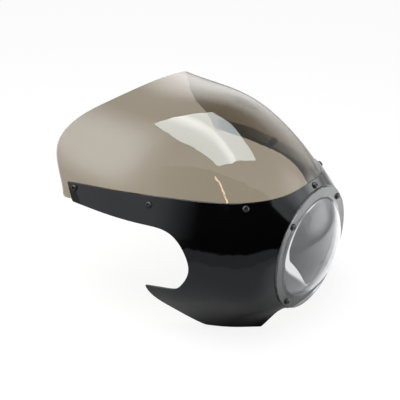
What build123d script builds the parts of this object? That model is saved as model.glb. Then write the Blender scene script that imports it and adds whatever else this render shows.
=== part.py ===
"""Headlight cowl for a cafe-style motorbike: a moulded black shell round the lamp,
a smoked bubble windscreen tucked inside its top edge and a clear domed lens cover
screwed over the lamp opening.

Millimetres. +X is forward along the lamp axis, +Y is the rider's left, +Z is up.
The origin is the centre of the lamp opening, in the plane that the lens cover seats on.
"""
import os

from build123d import *

# Lens cover
lens_flange_radius = 100.0
lens_thickness = 3.0
dome_base_radius = 83.0
dome_height = 32.0
dome_root_round = 10.0
dome_bore_radius = dome_base_radius - lens_thickness / 3

# Shell
shell_wall = 3.0
opening_radius = 77.5
seat_margin = 2.0
seat_radius = lens_flange_radius + seat_margin
sill_height = -128.0
chin_side = [(74.0, sill_height), (66.5, -118.0), (62.0, -106.0), (60.0, -94.0), (55.0, -86.0)]
chin_crown = -93.0

# Windscreen
screen_thickness = 3.0
screen_gap = 0.3
screen_overlap = 27.0

# Fasteners: button-head screws, each with a plain washer and a hexagon nut behind
thread_diameter = 6.0
screw_length = 16.0
head_diameter = 10.5
head_height = 3.3
head_edge = 0.8
head_top_radius = 3.0
socket_flats = 4.0
socket_depth = 2.0
hole_diameter = 6.6
washer_bore = 6.4
washer_diameter = 11.0
washer_thickness = 1.6
nut_flats = 10.0
nut_height = 5.0
thread_clearance = 0.1
seat_gap = 0.3
front_seat_gap = 1.3
lens_screw_radius = 92.5
lens_screw_count = 4
lens_screw_angle = 45.0

# Sections of the mould behind the round lens seat, front to rear, symmetric about the
# lamp's centre plane: station along X, crown height, haunch and shoulder (half-width, height),
# half-width at the flank and at the hip, sill (half-width, height) and keel height.
flank_height = 40.0
hip_height = -60.0
mould_sections = [
    (-14.0, 121.5, (38.0, 110.0), (72.0, 85.0), 111.0, 112.0, (48.0, -105.0), -117.0),
    (-50.0, 155.0, (50.0, 139.5), (95.0, 99.0), 140.0, 143.0, (87.0, sill_height), -154.0),
    (-110.0, 196.5, (70.0, 167.0), (132.0, 93.5), 167.0, 170.0, (128.0, sill_height), -172.0),
    (-190.0, 217.5, (90.0, 182.5), (166.0, 92.0), 192.5, 195.0, (149.5, sill_height), -177.0),
    (-275.0, 220.5, (105.0, 186.0), (188.0, 87.0), 203.5, 206.0, (161.0, sill_height), -179.0),
    (-350.0, 230.5, (112.0, 193.5), (197.0, 81.0), 207.0, 208.5, (163.0, sill_height), -180.0),
    (-390.0, 243.5, (112.0, 206.5), (197.5, 78.5), 207.0, 208.5, (163.0, sill_height), -180.0),
]
outline_reach = 260.0
front_reach = 20.0

# Side outline of the shell, as (x, z)
top_edge_front = (-8.0, 113.0)
top_edge = [(-20.0, 104.5), (-42.0, 99.5), (-108.0, 94.0), (-194.0, 92.3), (-268.0, 88.0)]
arm_end_top = (-337.0, 81.0)
arm_end_bottom = (-321.0, 54.0)
arm_end_round = 6.0
notch_start = (-175.0, 54.0)
notch = [(-137.0, 47.0), (-111.0, 23.0), (-103.0, -2.0), (-117.0, -31.5)]
notch_tip = (-172.0, -44.0)
tip_round = 2.5
lower_edge = [(-161.0, -70.0), (-143.0, -91.0)]
sill_corner = (-127.0, -113.0)
sill_start = (-107.0, sill_height)

# Side outline of the windscreen, as (x, z)
screen_top = (-283.0, 227.0)
screen_rear_edge = [(-295.0, 218.0), (-331.0, 193.0), (-369.5, 160.0), (-380.5, 130.0), (-366.0, 97.0)]
screen_corner = (-345.0, 54.0)
screen_corner_round = 6.0
screen_front_height = 100.0

# Windscreen screws: (x, z) on each side of the shell, and one on the centre line in front
side_screws = [(-320.5, 76.0), (-184.0, 81.0), (-54.0, 91.5)]
front_screw_height = 107.0


def mould():
    """The outside of the whole cowl as one lofted solid, from the lens seat to the rear."""
    with BuildPart() as block:
        with BuildSketch(Plane.YZ):
            with BuildLine():
                half = ThreePointArc((0, seat_radius), (seat_radius, 0), (0, -seat_radius))
                mirror(half, about=Plane.YZ)
            make_face()
        for station, crown, haunch, shoulder, flank, hip, sill, keel in mould_sections:
            with BuildSketch(Plane.YZ.offset(station)):
                with BuildLine():
                    half = Spline(
                        (0, crown),
                        haunch,
                        shoulder,
                        (flank, flank_height),
                        (hip, hip_height),
                        sill,
                        (0, keel),
                        tangents=((1, 0), (-1, 0)),
                    )
                    mirror(half, about=Plane.YZ)
                make_face()
        loft()
    return block.part


def mould_inside(depth):
    """The space left inside the mould at an even depth below its outside."""
    with BuildPart() as core:
        add(mould_block)
        offset(amount=-depth)
    return core.part


def skin_plane(skin, line, side):
    """The tangent plane where a line meets the outside of the mould, facing out."""
    hits = skin.find_intersection_points(line)
    point, normal = max(hits, key=lambda hit: hit[0].dot(side))
    if normal.dot(side) < 0:
        normal = -normal
    return Plane(origin=point, z_dir=normal)


mould_block = mould()
mould_skin = mould_block.faces().filter_by(GeomType.BSPLINE)[0]
left = Vector(0, 1, 0)
forward = Vector(1, 0, 0)
front_line = Axis((0, 0, front_screw_height), (1, 0, 0))
screen_screw_planes = [skin_plane(mould_skin, front_line, forward)]
for x, z in side_screws:
    for side in (left, -left):
        screen_screw_planes.append(skin_plane(mould_skin, Axis((x, 0, z), (0, 1, 0)), side))
screen_depth = shell_wall + screen_gap
screen_stack = screen_depth + screen_thickness + seat_gap
front_stack = screen_depth + screen_thickness + front_seat_gap

# Moulded shell: the mould's skin, cut to its side outline, with the lamp opening, the chin
# arch under it and the screw holes
with BuildPart() as cowl_body:
    add(mould_block)
    add(mould_inside(shell_wall), mode=Mode.SUBTRACT)
    with BuildSketch(Plane.XZ) as shell_outline:
        with BuildLine():
            Line((front_reach, top_edge_front[1]), top_edge_front)
            Spline(top_edge_front, *top_edge, arm_end_top)
            Line(arm_end_top, arm_end_bottom)
            Line(arm_end_bottom, notch_start)
            Spline(notch_start, *notch, notch_tip, tangents=((1, 0), (-1, -0.15)))
            Spline(notch_tip, *lower_edge, sill_corner, sill_start)
            Line(sill_start, (front_reach, sill_height))
            Line((front_reach, sill_height), (front_reach, top_edge_front[1]))
        make_face()
        corners = shell_outline.vertices()
        fillet(corners.sort_by_distance(arm_end_bottom)[0], arm_end_round)
        fillet(corners.sort_by_distance(arm_end_top)[0], tip_round)
        fillet(corners.sort_by_distance(notch_tip)[0], tip_round)
    extrude(amount=outline_reach, both=True, mode=Mode.INTERSECT)
    with BuildSketch(Plane.YZ):
        Circle(opening_radius)
        with PolarLocations(lens_screw_radius, lens_screw_count, start_angle=lens_screw_angle):
            Circle(hole_diameter / 2)
    extrude(amount=-2 * shell_wall, mode=Mode.SUBTRACT)
    with Locations(*screen_screw_planes):
        Cylinder(hole_diameter / 2, 2 * screen_stack, mode=Mode.SUBTRACT)
    with BuildSketch(Plane.YZ):
        with BuildLine():
            Line((0, sill_height), chin_side[0])
            edge = Spline(*chin_side)
            ThreePointArc(edge @ 1, (0, chin_crown), (-chin_side[-1][0], chin_side[-1][1]))
            Spline(*[(-y, z) for y, z in reversed(chin_side)])
            Line((-chin_side[0][0], sill_height), (0, sill_height))
        make_face()
    extrude(amount=-outline_reach, mode=Mode.SUBTRACT)
cowl_body.part.label = "cowl_body"

# Smoked windscreen: a blown sheet that follows the inside of the shell, cut to its own outline
with BuildPart() as windscreen:
    add(mould_inside(screen_depth))
    add(mould_inside(screen_depth + screen_thickness), mode=Mode.SUBTRACT)
    with BuildSketch(Plane.XZ) as screen_outline:
        with BuildLine():
            lower = [(x, z - screen_overlap) for x, z in reversed(top_edge[2:])]
            crest = mould_sections[-1][1]
            Spline(screen_top, *screen_rear_edge, screen_corner)
            Spline(screen_corner, *lower, (0, screen_front_height))
            Polyline(
                (0, screen_front_height),
                (front_reach, screen_front_height),
                (front_reach, crest),
                (screen_top[0], crest),
                screen_top,
            )
        make_face()
        corners = screen_outline.vertices()
        fillet(corners.sort_by_distance(screen_corner)[0], screen_corner_round)
    extrude(amount=outline_reach, both=True, mode=Mode.INTERSECT)
    with Locations(*screen_screw_planes):
        Cylinder(hole_diameter / 2, 4 * screen_stack, mode=Mode.SUBTRACT)
windscreen.part.label = "windscreen"

# Clear lens cover: a flat flange on the shell's seat and a blown dome
with BuildPart() as headlight_lens:
    with BuildSketch(Plane.XY) as profile:
        with BuildLine():
            outer = TangentArc(
                (lens_thickness + dome_height, 0), (lens_thickness, dome_base_radius), tangent=(0, 1)
            )
            inner = TangentArc((dome_height, 0), (0, dome_bore_radius), tangent=(0, 1))
            Polyline(
                outer @ 1,
                (lens_thickness, lens_flange_radius),
                (0, lens_flange_radius),
                inner @ 1,
            )
            Line(outer @ 0, inner @ 0)
        make_face()
        roots = profile.vertices()
        fillet(roots.sort_by_distance((lens_thickness, dome_base_radius))[0], dome_root_round)
        fillet(roots.sort_by_distance((0, dome_bore_radius))[0], dome_root_round + lens_thickness)
    revolve(axis=Axis.X)
    with BuildSketch(Plane.YZ):
        with PolarLocations(lens_screw_radius, lens_screw_count, start_angle=lens_screw_angle):
            Circle(hole_diameter / 2)
    extrude(amount=lens_thickness, mode=Mode.SUBTRACT)
headlight_lens.part.label = "headlight_lens"

# One button-head screw, its washer and its nut, along +Z with the head's seat at zero
with BuildPart() as screw:
    with BuildSketch(Plane.XZ):
        with BuildLine():
            Polyline(
                (0, head_height),
                (0, -screw_length),
                (thread_diameter / 2, -screw_length),
                (thread_diameter / 2, 0),
                (head_diameter / 2, 0),
                (head_diameter / 2, head_edge),
            )
            TangentArc(
                (head_top_radius, head_height), (head_diameter / 2, head_edge), tangent=(1, -0.25)
            )
            Line((head_top_radius, head_height), (0, head_height))
        make_face()
    revolve(axis=Axis.Z)
    with BuildSketch(Plane.XY.offset(head_height)):
        RegularPolygon(socket_flats / 2, 6, major_radius=False)
    extrude(amount=-socket_depth, mode=Mode.SUBTRACT)

with BuildPart() as washer:
    with BuildSketch():
        Circle(washer_diameter / 2)
        Circle(washer_bore / 2, mode=Mode.SUBTRACT)
    extrude(amount=-washer_thickness)

with BuildPart() as nut:
    with BuildSketch():
        RegularPolygon(nut_flats / 2, 6, major_radius=False)
        Circle((thread_diameter + thread_clearance) / 2, mode=Mode.SUBTRACT)
    extrude(amount=-nut_height)

# Where each set is fixed: planes whose Z axis points out of the joint, at the head's seat
lens_seat = Plane.YZ.offset(lens_thickness)
lens_spots = PolarLocations(lens_screw_radius, lens_screw_count, start_angle=lens_screw_angle)
lens_screw_planes = [Plane(lens_seat.location * spot) for spot in lens_spots.locations]
lens_stack = lens_thickness + shell_wall

pieces = [cowl_body, windscreen, headlight_lens]
for joint, planes, lift, stacks in (
    ("windscreen", screen_screw_planes, seat_gap, [front_stack] + [screen_stack] * 2 * len(side_screws)),
    ("lens", lens_screw_planes, 0, [lens_stack] * lens_screw_count),
):
    for kind, piece, depths in (
        ("screws", screw, [-lift for stack in stacks]),
        ("washers", washer, stacks),
        ("nuts", nut, [stack + washer_thickness for stack in stacks]),
    ):
        with BuildPart() as fasteners:
            with Locations(*[plane.offset(-depth) for plane, depth in zip(planes, depths)]):
                add(piece.part)
        fasteners.part.label = f"{joint}_{kind}"
        pieces.append(fasteners)

os.makedirs("parts", exist_ok=True)
for piece in pieces:
    export_step(piece.part, f"parts/{piece.part.label}.step")
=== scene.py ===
"""Headlight cowl on a pale studio floor: gloss-black shell, smoked windscreen, clear lens cover."""
from math import pi, radians

import bmesh
import bpy
from mathutils import Euler, Matrix, Vector


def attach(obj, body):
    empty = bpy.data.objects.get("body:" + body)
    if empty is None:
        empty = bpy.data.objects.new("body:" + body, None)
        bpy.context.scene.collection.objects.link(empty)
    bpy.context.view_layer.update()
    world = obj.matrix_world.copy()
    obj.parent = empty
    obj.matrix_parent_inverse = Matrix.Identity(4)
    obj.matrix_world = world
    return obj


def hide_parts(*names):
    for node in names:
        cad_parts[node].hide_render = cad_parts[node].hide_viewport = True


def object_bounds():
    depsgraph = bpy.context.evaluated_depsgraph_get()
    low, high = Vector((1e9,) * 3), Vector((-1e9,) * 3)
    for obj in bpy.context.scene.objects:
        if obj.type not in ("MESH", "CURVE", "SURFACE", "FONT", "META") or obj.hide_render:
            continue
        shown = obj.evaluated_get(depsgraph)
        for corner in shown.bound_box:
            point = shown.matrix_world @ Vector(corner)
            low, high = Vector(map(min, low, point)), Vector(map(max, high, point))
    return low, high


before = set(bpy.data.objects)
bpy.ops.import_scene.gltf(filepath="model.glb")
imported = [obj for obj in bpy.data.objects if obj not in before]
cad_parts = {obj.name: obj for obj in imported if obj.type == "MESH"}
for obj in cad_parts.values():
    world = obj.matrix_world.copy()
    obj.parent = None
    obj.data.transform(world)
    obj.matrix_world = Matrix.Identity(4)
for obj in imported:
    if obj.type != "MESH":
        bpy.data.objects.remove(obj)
cad_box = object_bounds()

# Shell: moulded in one piece with its arms, fork notches and lamp opening; all the rest is screwed
# to it. Outside it is sprayed gloss black, with a faint ripple and an uneven haze; the inside is
# left satin. The shading normals are averaged over the skin, because gloss shows every facet.
weld_distance = 2e-5
crease_angle = radians(28)
flat_to_front = 0.999  # least X of a normal on the flat front wall
averaging_rounds = 10
edge_agreement = 0.95  # least cosine between a face and a normal on its side of a cut edge
hollow_middle = Vector((-0.25, 0, 0.02))


def welded_copy(name, node):
    """A copy of a CAD node, and its mesh with the loose triangles merged."""
    piece = bpy.data.objects.new(name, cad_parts[node].data.copy())
    bpy.context.collection.objects.link(piece)
    skin = bmesh.new()
    skin.from_mesh(piece.data)
    bmesh.ops.remove_doubles(skin, verts=skin.verts, dist=weld_distance)
    return piece, skin


def smoothed(piece, skin):
    """Put the merged mesh into the piece, smooth apart from its creases."""
    skin.to_mesh(piece.data)
    skin.free()
    piece.data.shade_smooth()
    piece.data.set_sharp_from_angle(angle=crease_angle)


shell, skin = welded_copy("shell", "cowl_body")
inner = [
    v for v in skin.verts if all(e.calc_face_angle(pi) < crease_angle for e in v.link_edges)
]
skin.normal_update()
skin.verts.index_update()
flow = {v.index: v.normal.copy() for v in inner}
for step in range(averaging_rounds):
    averaged = {}
    for vertex in inner:
        own = flow[vertex.index]
        beside = [flow.get(e.other_vert(vertex).index, own) for e in vertex.link_edges]
        averaged[vertex.index] = sum(beside, own).normalized()
    flow = averaged
corners = []
for face in skin.faces:
    for vertex in face.verts:
        if abs(face.normal.x) > flat_to_front:
            corner = face.normal.copy()
        elif vertex.index in flow:
            corner = flow[vertex.index]
        else:
            beside = [e.other_vert(vertex).index for e in vertex.link_edges]
            known = [flow[index] for index in beside if index in flow]
            same_side = [n for n in known if n.dot(face.normal) > edge_agreement]
            corner = sum(same_side, Vector()).normalized()
        corners.append(corner)
smoothed(shell, skin)
shell.data.normals_split_custom_set(corners)

# An uneven finish. The Mix node's sockets share their names, so they go by number: 0 is the
# factor, 6 and 7 are the colours mixed, and 2 is the colour that comes out.
mottle = bpy.data.node_groups.new("mottle", "ShaderNodeTree")
for name, kind in (
    ("Scale", "Float"), ("Detail", "Float"), ("Dark", "Color"), ("Light", "Color"),
    ("Smooth", "Float"), ("Rough", "Float"),
):
    mottle.interface.new_socket(name=name, in_out="INPUT", socket_type=f"NodeSocket{kind}")
for name, kind in (("Color", "Color"), ("Roughness", "Float")):
    mottle.interface.new_socket(name=name, in_out="OUTPUT", socket_type=f"NodeSocket{kind}")
nodes = mottle.nodes
links = mottle.links
given = nodes.new("NodeGroupInput")
result = nodes.new("NodeGroupOutput")
where = nodes.new("ShaderNodeTexCoord")
cloud = nodes.new("ShaderNodeTexNoise")
tone = nodes.new("ShaderNodeMix")
tone.data_type = "RGBA"
haze = nodes.new("ShaderNodeMapRange")
links.new(where.outputs["Object"], cloud.inputs["Vector"])
links.new(given.outputs["Scale"], cloud.inputs["Scale"])
links.new(given.outputs["Detail"], cloud.inputs["Detail"])
links.new(cloud.outputs["Fac"], tone.inputs[0])
links.new(given.outputs["Dark"], tone.inputs[6])
links.new(given.outputs["Light"], tone.inputs[7])
links.new(tone.outputs[2], result.inputs["Color"])
links.new(cloud.outputs["Fac"], haze.inputs["Value"])
links.new(given.outputs["Smooth"], haze.inputs["To Min"])
links.new(given.outputs["Rough"], haze.inputs["To Max"])
links.new(haze.outputs["Result"], result.inputs["Roughness"])


def mottled(name, scale, detail=2.0, tones=None, roughness=None):
    """A material whose colour, roughness or both are uneven, at the given scale."""
    material = bpy.data.materials.new(name)
    material.use_nodes = True
    nodes = material.node_tree.nodes
    links = material.node_tree.links
    surface = nodes["Principled BSDF"]
    uneven = nodes.new("ShaderNodeGroup")
    uneven.node_tree = mottle
    uneven.inputs["Scale"].default_value = scale
    uneven.inputs["Detail"].default_value = detail
    if tones:
        uneven.inputs["Dark"].default_value = (*tones[0], 1)
        uneven.inputs["Light"].default_value = (*tones[1], 1)
        links.new(uneven.outputs["Color"], surface.inputs["Base Color"])
    if roughness:
        uneven.inputs["Smooth"].default_value = roughness[0]
        uneven.inputs["Rough"].default_value = roughness[1]
        links.new(uneven.outputs["Roughness"], surface.inputs["Roughness"])
    return material, surface


gloss_black, paint = mottled(
    "gloss_black", scale=9.0, detail=3.0, roughness=(0.05, 0.1),
    tones=((0.0012, 0.0012, 0.0014), (0.0028, 0.0028, 0.0032)),
)
paint.inputs["IOR"].default_value = 1.5
paint.inputs["Specular Tint"].default_value = (0.93, 0.95, 1, 1)
nodes = gloss_black.node_tree.nodes
links = gloss_black.node_tree.links
where = nodes.new("ShaderNodeTexCoord")
ripple = nodes.new("ShaderNodeTexNoise")
ripple.inputs["Scale"].default_value = 420.0
ripple.inputs["Detail"].default_value = 1.0
ripple_bump = nodes.new("ShaderNodeBump")
ripple_bump.inputs["Strength"].default_value = 0.03
ripple_bump.inputs["Distance"].default_value = 0.0003
links.new(where.outputs["Object"], ripple.inputs["Vector"])
links.new(ripple.outputs["Fac"], ripple_bump.inputs["Height"])
links.new(ripple_bump.outputs["Normal"], paint.inputs["Normal"])
satin_black = mottled(
    "satin_black_inside", scale=160.0, detail=5.0, roughness=(0.4, 0.6),
    tones=((0.006, 0.006, 0.006), (0.016, 0.016, 0.017)),
)[0]
shell.data.materials.clear()
shell.data.materials.append(gloss_black)
shell.data.materials.append(satin_black)
for face in shell.data.polygons:
    outward = face.center - hollow_middle
    face.material_index = int(face.normal.dot(outward) < 0)
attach(shell, "root")
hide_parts("cowl_body")

# Windscreen: a smoked acrylic sheet, blown to shape and screwed behind the shell's top edge. Its
# tint is slightly uneven, its surface has a trace of polishing haze, and its cut rear edge is
# sanded and pale.
cut_angle = radians(60)
edge_lean = 0.03  # greatest Y of a normal on the rear edge
edge_breadth = 0.0032
screen, skin = welded_copy("screen", "windscreen")
skin.normal_update()
for face in skin.faces:
    breadth = 2 * face.calc_area() / max(e.calc_length() for e in face.edges)
    cut = max(e.calc_face_angle(0) for e in face.edges) > cut_angle
    upright = abs(face.normal.y) < edge_lean
    face.material_index = int(cut and upright and breadth < edge_breadth)
smoothed(screen, skin)
smoked, acrylic = mottled(
    "smoked_acrylic", scale=5.0, roughness=(0.0, 0.02),
    tones=((0.31, 0.265, 0.2), (0.34, 0.295, 0.225)),
)
acrylic.inputs["Transmission Weight"].default_value = 1.0
acrylic.inputs["IOR"].default_value = 1.49
screen.data.materials[0] = smoked
sanded, edge = mottled(
    "sanded_smoke_edge", scale=700.0, tones=((0.8, 0.78, 0.75), (0.9, 0.88, 0.85))
)
edge.inputs["Roughness"].default_value = 0.55
edge.inputs["Transmission Weight"].default_value = 0.8
edge.inputs["IOR"].default_value = 1.1
screen.data.materials.append(sanded)
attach(screen, "root")
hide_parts("windscreen")

# Lens cover: a flat flange and a dome, blown from clear acrylic in one piece and screwed to the
# shell's front wall. It has faint wipe marks in its polish and a sanded rim.
bend_agreement = 0.9  # least cosine between faces that run on round the bend
rim_radius = 0.0995
rim_lean = 0.5  # greatest X of a normal on the rim
lens, skin = welded_copy("lens", "headlight_lens")
skin.normal_update()
corners = []
for face in skin.faces:
    for vertex in face.verts:
        beside = [f.normal for f in vertex.link_faces]
        same_side = [n for n in beside if n.dot(face.normal) > bend_agreement]
        flat = [n for n in same_side if abs(n.x) > flat_to_front]
        corners.append(sum(flat or same_side, Vector()).normalized())
smoothed(lens, skin)
lens.data.normals_split_custom_set(corners)
clear, acrylic = mottled("clear_acrylic", scale=14.0, roughness=(0.0, 0.03))
acrylic.inputs["Base Color"].default_value = (0.93, 0.95, 0.97, 1)
acrylic.inputs["Transmission Weight"].default_value = 0.95
acrylic.inputs["IOR"].default_value = 1.49
frosted, rim = mottled(
    "sanded_clear_rim", scale=700.0, tones=((0.72, 0.73, 0.75), (0.86, 0.87, 0.89))
)
rim.inputs["Roughness"].default_value = 0.25
rim.inputs["Transmission Weight"].default_value = 0.84
rim.inputs["IOR"].default_value = 1.49
lens.data.materials.clear()
lens.data.materials.append(clear)
lens.data.materials.append(frosted)
for face in lens.data.polygons:
    outermost = face.center.yz.length > rim_radius
    face.material_index = int(outermost and abs(face.normal.x) < rim_lean)
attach(lens, "root")
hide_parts("headlight_lens")

# Fasteners: button-head screws, washers and nuts of black-oxide steel with a fine grain. They clamp
# the windscreen and the lens cover to the shell. Their solids stay, and get this finish.
black_steel = mottled(
    "black_oxide_steel", scale=900.0, detail=4.0, roughness=(0.15, 0.35),
    tones=((0.003, 0.003, 0.0035), (0.01, 0.01, 0.011)),
)[0]
for clamped in ("windscreen", "lens"):
    for kind in ("screws", "washers", "nuts"):
        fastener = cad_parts[f"{clamped}_{kind}"]
        fastener.data.materials.clear()
        fastener.data.materials.append(black_steel)

# Floor: pale and plain, under the shell's sill. It is white to the camera and through glass,
# dimmer in the gloss, and keeps a soft shadow. Right under the shell a painted shadow darkens it,
# both in the gloss and through glass.
path_level = bpy.data.node_groups.new("path_level", "ShaderNodeTree")
rays = {"Is Glossy Ray": "Mirrored", "Is Transmission Ray": "Through", "Is Camera Ray": "Seen"}
for name in ("Plain", *rays.values(), *rays):
    path_level.interface.new_socket(name=name, in_out="INPUT", socket_type="NodeSocketFloat")
path_level.interface.new_socket(name="Level", in_out="OUTPUT", socket_type="NodeSocketFloat")
nodes = path_level.nodes
links = path_level.links
given = nodes.new("NodeGroupInput")
result = nodes.new("NodeGroupOutput")
# A Mix node of values has its factor at 0, the values mixed at 2 and 3, and puts out 0.
level = given.outputs["Plain"]
for ray, name in rays.items():
    switch = nodes.new("ShaderNodeMix")
    links.new(given.outputs[ray], switch.inputs[0])
    links.new(level, switch.inputs[2])
    links.new(given.outputs[name], switch.inputs[3])
    level = switch.outputs[0]
links.new(level, result.inputs["Level"])

sill = cad_box[0][2]
bpy.ops.mesh.primitive_plane_add(size=14, location=(0, 0, sill))
floor = bpy.context.object
floor.name = "floor"
floor_white = bpy.data.materials.new("floor_white")
floor_white.use_nodes = True
nodes = floor_white.node_tree.nodes
links = floor_white.node_tree.links
surface = nodes["Principled BSDF"]
surface.inputs["Base Color"].default_value = (0.2, 0.2, 0.2, 1)
surface.inputs["Roughness"].default_value = 0.9
surface.inputs["Specular IOR Level"].default_value = 0
surface.inputs["Emission Strength"].default_value = 1
where = nodes.new("ShaderNodeTexCoord")
# Painted shadow: an ellipse under the shell where the floor's glow drops, in the gloss and through
# glass.
under = nodes.new("ShaderNodeMapping")
under.vector_type = "TEXTURE"
under.inputs["Location"].default_value = (-0.12, -0.02, 0)
under.inputs["Scale"].default_value = (0.22, 0.16, 1)
spread = nodes.new("ShaderNodeTexGradient")
spread.gradient_type = "SPHERICAL"
painted_shadow_through_glass = nodes.new("ShaderNodeMapRange")
painted_shadow_through_glass.inputs["From Min"].default_value = 0.29
painted_shadow_through_glass.inputs["From Max"].default_value = 0.34
painted_shadow_through_glass.inputs["To Min"].default_value = 0.8
painted_shadow_through_glass.inputs["To Max"].default_value = 0.08
mirrored_floor_with_painted_shadow = nodes.new("ShaderNodeMapRange")
mirrored_floor_with_painted_shadow.inputs["From Max"].default_value = 0.4
mirrored_floor_with_painted_shadow.inputs["To Min"].default_value = 0.43
mirrored_floor_with_painted_shadow.inputs["To Max"].default_value = 0.03
path = nodes.new("ShaderNodeLightPath")
glow = nodes.new("ShaderNodeGroup")
glow.node_tree = path_level
glow.inputs["Seen"].default_value = 0.86
links.new(where.outputs["Object"], under.inputs["Vector"])
links.new(under.outputs["Vector"], spread.inputs["Vector"])
links.new(spread.outputs["Fac"], painted_shadow_through_glass.inputs["Value"])
links.new(spread.outputs["Fac"], mirrored_floor_with_painted_shadow.inputs["Value"])
links.new(painted_shadow_through_glass.outputs["Result"], glow.inputs["Through"])
links.new(mirrored_floor_with_painted_shadow.outputs["Result"], glow.inputs["Mirrored"])
for ray in rays:
    links.new(path.outputs[ray], glow.inputs[ray])
links.new(glow.outputs["Level"], surface.inputs["Emission Color"])
floor.data.materials.append(floor_white)

# Studio: a pale room and an overhead lamp light the part. The softbox, the windows, the card on
# the floor, the warm lamp, the grey wall and the dark side behind the camera are only mirrored
# in the gloss, and light nothing.
world = bpy.data.worlds.new("pale_room")
bpy.context.scene.world = world
world.use_nodes = True
nodes = world.node_tree.nodes
links = world.node_tree.links
room = nodes["Background"]
path = nodes.new("ShaderNodeLightPath")
glow = nodes.new("ShaderNodeGroup")
glow.node_tree = path_level
glow.inputs["Plain"].default_value = 0.5
glow.inputs["Through"].default_value = 1.0
glow.inputs["Seen"].default_value = 1.0
where = nodes.new("ShaderNodeTexCoord")
height = nodes.new("ShaderNodeSeparateXYZ")
ceiling = nodes.new("ShaderNodeMapRange")
ceiling.inputs["From Min"].default_value = 0.7
ceiling.inputs["To Min"].default_value = 1.0
ceiling.inputs["To Max"].default_value = 0.3
links.new(where.outputs["Generated"], height.inputs["Vector"])
links.new(height.outputs["Z"], ceiling.inputs["Value"])
links.new(ceiling.outputs["Result"], glow.inputs["Mirrored"])
for ray in rays:
    links.new(path.outputs[ray], glow.inputs[ray])
links.new(glow.outputs["Level"], room.inputs["Color"])

lamp_height = 1.6


def glowing(name, strength):
    """A panel's material, which glows and has no colour or gloss of its own."""
    material = bpy.data.materials.new(name)
    material.use_nodes = True
    surface = material.node_tree.nodes["Principled BSDF"]
    surface.inputs["Base Color"].default_value = (0, 0, 0, 1)
    surface.inputs["Specular IOR Level"].default_value = 0
    surface.inputs["Emission Strength"].default_value = strength
    return material, surface


def only_mirrored(panel):
    """Leave the panel to reflections alone."""
    panel.visible_camera = False
    panel.visible_diffuse = False
    panel.visible_transmission = False
    panel.visible_shadow = False


softbox_corners = ((-0.91, -0.58), (0.1, -1.35), (-0.52, 0.02), (0.73, -0.42))
bpy.ops.mesh.primitive_plane_add()
softbox = bpy.context.object
softbox.name = "softbox"
for vertex, corner in zip(softbox.data.vertices, softbox_corners):
    vertex.co = (*corner, lamp_height)
softbox_glow, cloth = glowing("softbox_glow", strength=15)
nodes = softbox_glow.node_tree.nodes
links = softbox_glow.node_tree.links
where = nodes.new("ShaderNodeTexCoord")
across = nodes.new("ShaderNodeVectorMath")
across.operation = "DOT_PRODUCT"
across.inputs[1].default_value = (0.547, 0.837, 0)
width = nodes.new("ShaderNodeMapRange")
width.inputs["From Min"].default_value = -1.05
width.inputs["From Max"].default_value = 0.05
fold = nodes.new("ShaderNodeValToRGB")
fold.color_ramp.interpolation = "EASE"
fold.color_ramp.elements[0].color = (0.54, 0.6, 0.61, 1)
fold.color_ramp.elements[1].color = (0.54, 0.6, 0.61, 1)
fold.color_ramp.elements.new(0.15).color = (0.57, 0.63, 0.64, 1)
fold.color_ramp.elements.new(0.34).color = (0.92, 0.98, 1, 1)
fold.color_ramp.elements.new(0.42).color = (0.6, 0.66, 0.67, 1)
links.new(where.outputs["Object"], across.inputs[0])
links.new(across.outputs["Value"], width.inputs["Value"])
links.new(width.outputs["Result"], fold.inputs["Fac"])
links.new(fold.outputs["Color"], cloth.inputs["Emission Color"])
softbox.data.materials.append(softbox_glow)
only_mirrored(softbox)

overhead_disk = bpy.data.lights.new("overhead", "AREA")
overhead_disk.shape = "DISK"
overhead_disk.size = 1.6
overhead_disk.energy = 18
overhead = bpy.data.objects.new("overhead", overhead_disk)
overhead.location = (-0.15, -0.4, lamp_height)
overhead.rotation_euler = (radians(-14), radians(-5), 0)
overhead.visible_camera = False
overhead.visible_glossy = False
overhead.visible_transmission = False
bpy.context.collection.objects.link(overhead)

window_glow, pane = glowing("window_glow", strength=4)
nodes = window_glow.node_tree.nodes
links = window_glow.node_tree.links
where = nodes.new("ShaderNodeTexCoord")
falloff = nodes.new("ShaderNodeTexGradient")
falloff.gradient_type = "SPHERICAL"
opacity = nodes.new("ShaderNodeMapRange")
opacity.interpolation_type = "SMOOTHSTEP"
opacity.inputs["From Max"].default_value = 0.8
shine_of_panel = nodes.new("ShaderNodeObjectInfo")
links.new(where.outputs["Object"], falloff.inputs["Vector"])
links.new(falloff.outputs["Fac"], opacity.inputs["Value"])
links.new(opacity.outputs["Result"], pane.inputs["Alpha"])
links.new(shine_of_panel.outputs["Color"], pane.inputs["Emission Color"])

black_cloth, drape = glowing("black_cloth", strength=1)
nodes = black_cloth.node_tree.nodes
links = black_cloth.node_tree.links
where = nodes.new("ShaderNodeTexCoord")
side = nodes.new("ShaderNodeSeparateXYZ")
fade = nodes.new("ShaderNodeMapRange")
fade.interpolation_type = "SMOOTHSTEP"
fade.inputs["From Min"].default_value = -0.85
fade.inputs["From Max"].default_value = -0.5
shine_of_panel = nodes.new("ShaderNodeObjectInfo")
links.new(where.outputs["Object"], side.inputs["Vector"])
links.new(side.outputs["X"], fade.inputs["Value"])
links.new(fade.outputs["Result"], drape.inputs["Alpha"])
links.new(shine_of_panel.outputs["Color"], drape.inputs["Emission Color"])

warm_glow, bulb = glowing("warm_glow", strength=14)
bulb.inputs["Emission Color"].default_value = (1, 0.66, 0.42, 1)

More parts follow.
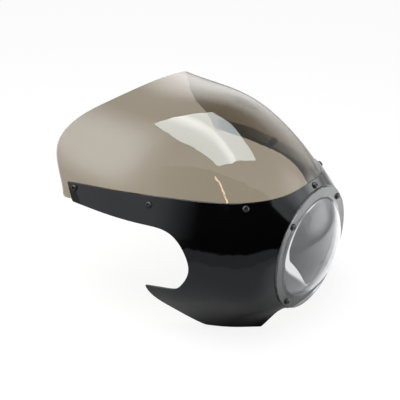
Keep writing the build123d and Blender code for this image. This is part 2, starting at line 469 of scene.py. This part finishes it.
card_height = sill + 0.004
for name, material, shine, azimuth, tilt, roll, place, half_size in (
    ("left_window", window_glow, 1.2, -42, 37, 0, (-1.81, -1.89, 1.91), (1.9, 1.8)),
    ("back_window", window_glow, 0.65, 205, 30, 0, (-1.03, 1.86, 1.4), (3.2, 1.7)),
    ("front_window", window_glow, 1.15, 130, 13, 0, (1.52, 1.28, 0.53), (1.6, 0.8)),
    ("high_window", window_glow, 0.7, 105, 36, 0, (1.62, 0.43, 1.22), (1.1, 0.8)),
    ("floor_card", window_glow, 0.75, 0, 90, 0, (0.55, 0.5, card_height), (0.95, 0.8)),
    ("dark_side", black_cloth, 0, 31.5, 0, 0, (0.79, -1.6, 1.23), (1.61, 0.89)),
    ("grey_wall", black_cloth, 0.42, 31.5, 0, 0, (0.84, -1.68, 0.3), (1.75, 0.45)),
    ("warm_lamp", warm_glow, 1, 14, 44, -25, (0.185, -1.232, 1.211), (0.13, 0.011)),
):
    bpy.ops.mesh.primitive_plane_add()
    panel = bpy.context.object
    panel.name = name
    turn = Euler((radians(90 - tilt), 0, radians(azimuth))).to_matrix()
    turn = turn @ Matrix.Rotation(radians(roll), 3, "Z")
    panel.matrix_world = (
        Matrix.Translation(place) @ turn.to_4x4() @ Matrix.Diagonal((*half_size, 1, 1))
    )
    panel.color = (shine, shine, shine, 1)
    panel.data.materials.append(material)
    only_mirrored(panel)
dark_side = bpy.data.objects["dark_side"]
rounding = dark_side.modifiers.new("rounding", "BEVEL")
rounding.affect = "VERTICES"
rounding.width = 0.3
rounding.segments = 8
bpy.context.view_layer.objects.active = dark_side
bpy.ops.object.modifier_apply(modifier=rounding.name)

# Camera: the photograph's view, from the front right and above, with a slight roll. Place and
# angles were solved from the lens flange, the screws and the outlines.
azimuth, elevation, roll = 38.84, 27.09, 0.6
camera_data = bpy.data.cameras.new("camera")
camera_data.lens = 60.3
camera_data.sensor_width = 36
camera = bpy.data.objects.new("camera", camera_data)
turn = Euler((radians(90 - elevation), 0, radians(azimuth))).to_matrix()
turn = turn @ Matrix.Rotation(radians(roll), 3, "Z")
camera.matrix_world = Matrix.Translation((0.4297, -0.8113, 0.5422)) @ turn.to_4x4()
bpy.context.collection.objects.link(camera)
bpy.context.scene.camera = camera
bpy.context.scene.view_settings.view_transform = "Standard"
